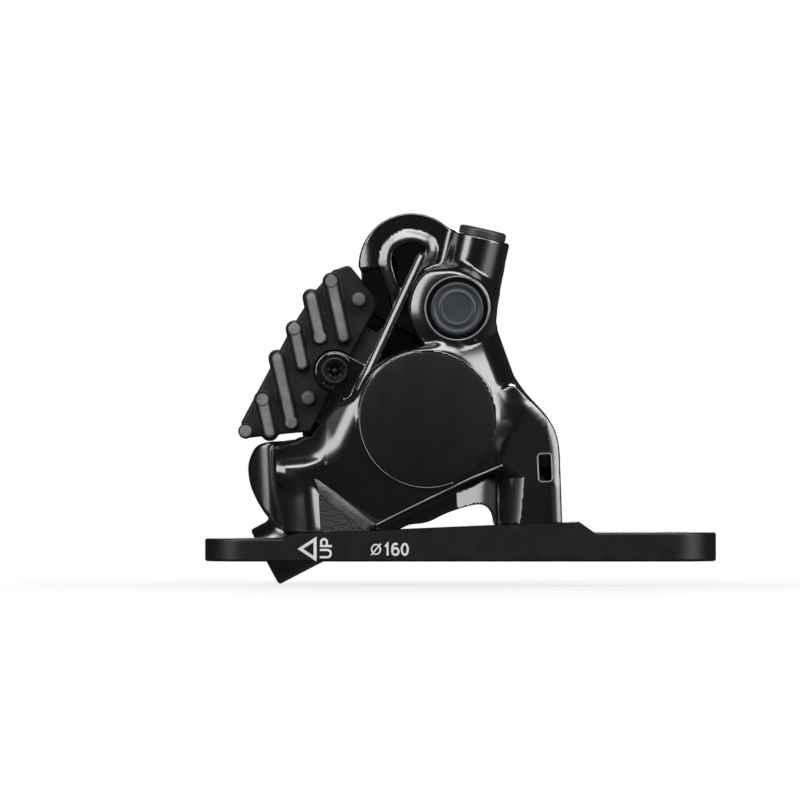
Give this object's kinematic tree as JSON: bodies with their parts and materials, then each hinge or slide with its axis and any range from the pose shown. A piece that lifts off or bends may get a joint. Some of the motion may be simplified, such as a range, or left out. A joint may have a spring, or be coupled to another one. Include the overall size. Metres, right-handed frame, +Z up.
{
  "type": "bicycle disc brake caliper",
  "caption": "Flat-mount hydraulic disc brake caliper for a road bicycle, on its mount bracket, with finned pads, pistons, a bleed valve and an open hose boss.",
  "frame": {"origin": "midway between the two fork bolt holes, on the bracket's flat underside", "axes": "+X along the bracket, the way its slope rises; +Y from the outer side towards the wheel; +Z up off the fork"},
  "size_m": [0.085, 0.0388, 0.062],
  "materials": {
    "body_paint": "gloss black",
    "bracket_coat": "satin grey-black",
    "fin_coat": "matte black, textured",
    "rivet_metal": "satin black",
    "bolt_steel": "dark steel",
    "plate_steel": "dull steel",
    "spring_steel": "bright spring steel",
    "lining": "brown-grey friction compound",
    "piston_resin": "dark resin",
    "seal_rubber": "black rubber",
    "cap_plastic": "blue-grey, satin",
    "nipple_cap_plastic": "dark grey, satin"
  },
  "bodies": {
    "root": {"mount_bracket": "bracket_coat", "caliper_bolts": "bolt_steel", "outer_half": "body_paint", "inner_half": "body_paint", "body_bolts": "bolt_steel", "crossover_seal": "seal_rubber", "outer_piston_seal": "seal_rubber", "inner_piston_seal": "seal_rubber", "pad_spring": "spring_steel", "pad_axle": "bolt_steel", "pad_axle_clip": "spring_steel", "bleed_nipple": "bolt_steel", "bleed_nipple_seal": "seal_rubber"},
    "outer_piston_body": {"outer_piston": "piston_resin"},
    "inner_piston_body": {"inner_piston": "piston_resin"},
    "outer_pad": {"outer_pad_plate": "plate_steel", "outer_pad_friction": "lining", "outer_pad_fin": "fin_coat", "outer_fin_rivets": "rivet_metal"},
    "inner_pad": {"inner_pad_plate": "plate_steel", "inner_pad_friction": "lining", "inner_pad_fin": "fin_coat", "inner_fin_rivets": "rivet_metal"},
    "bleed_screw": {"bleed_valve_screw": "bolt_steel", "bleed_valve_seal": "seal_rubber"},
    "valve_cap": {"valve_dust_cap": "cap_plastic"},
    "nipple_cap": {"bleed_nipple_cap": "nipple_cap_plastic"}
  },
  "joints": [
    {"name": "outer_piston_slide", "type": "slide", "parent": "root", "child": "outer_piston_body", "axis": [0, 1, 0], "range_m": [-0.0003, 0.001], "deforming": ["pad_spring"]},
    {"name": "inner_piston_slide", "type": "slide", "parent": "root", "child": "inner_piston_body", "axis": [0, -1, 0], "range_m": [-0.0003, 0.001]},
    {"name": "outer_pad_slide", "type": "slide", "parent": "root", "child": "outer_pad", "axis": [0, 1, 0], "range_m": [-0.0003, 0.001]},
    {"name": "inner_pad_slide", "type": "slide", "parent": "root", "child": "inner_pad", "axis": [0, -1, 0], "range_m": [-0.0003, 0.001]},
    {"name": "bleed_screw_turn", "type": "hinge", "parent": "root", "child": "bleed_screw", "pos_m": [-0.00059, 0, 0.04202], "axis": [0, -1, 0], "range_deg": [0, 90]},
    {"name": "valve_cap_pull", "type": "slide", "parent": "root", "child": "valve_cap", "axis": [0, -1, 0], "range_m": [0, 0.004]},
    {"name": "nipple_cap_pull", "type": "slide", "parent": "root", "child": "nipple_cap", "axis": [0.225, 0, 0.9744], "range_m": [0, 0.005]}
  ],
  "couplings": [
    {"joint": "inner_piston_slide", "follows": "outer_piston_slide", "ratio": 1},
    {"joint": "outer_pad_slide", "follows": "outer_piston_slide", "ratio": 1},
    {"joint": "inner_pad_slide", "follows": "outer_piston_slide", "ratio": 1}
  ]
}
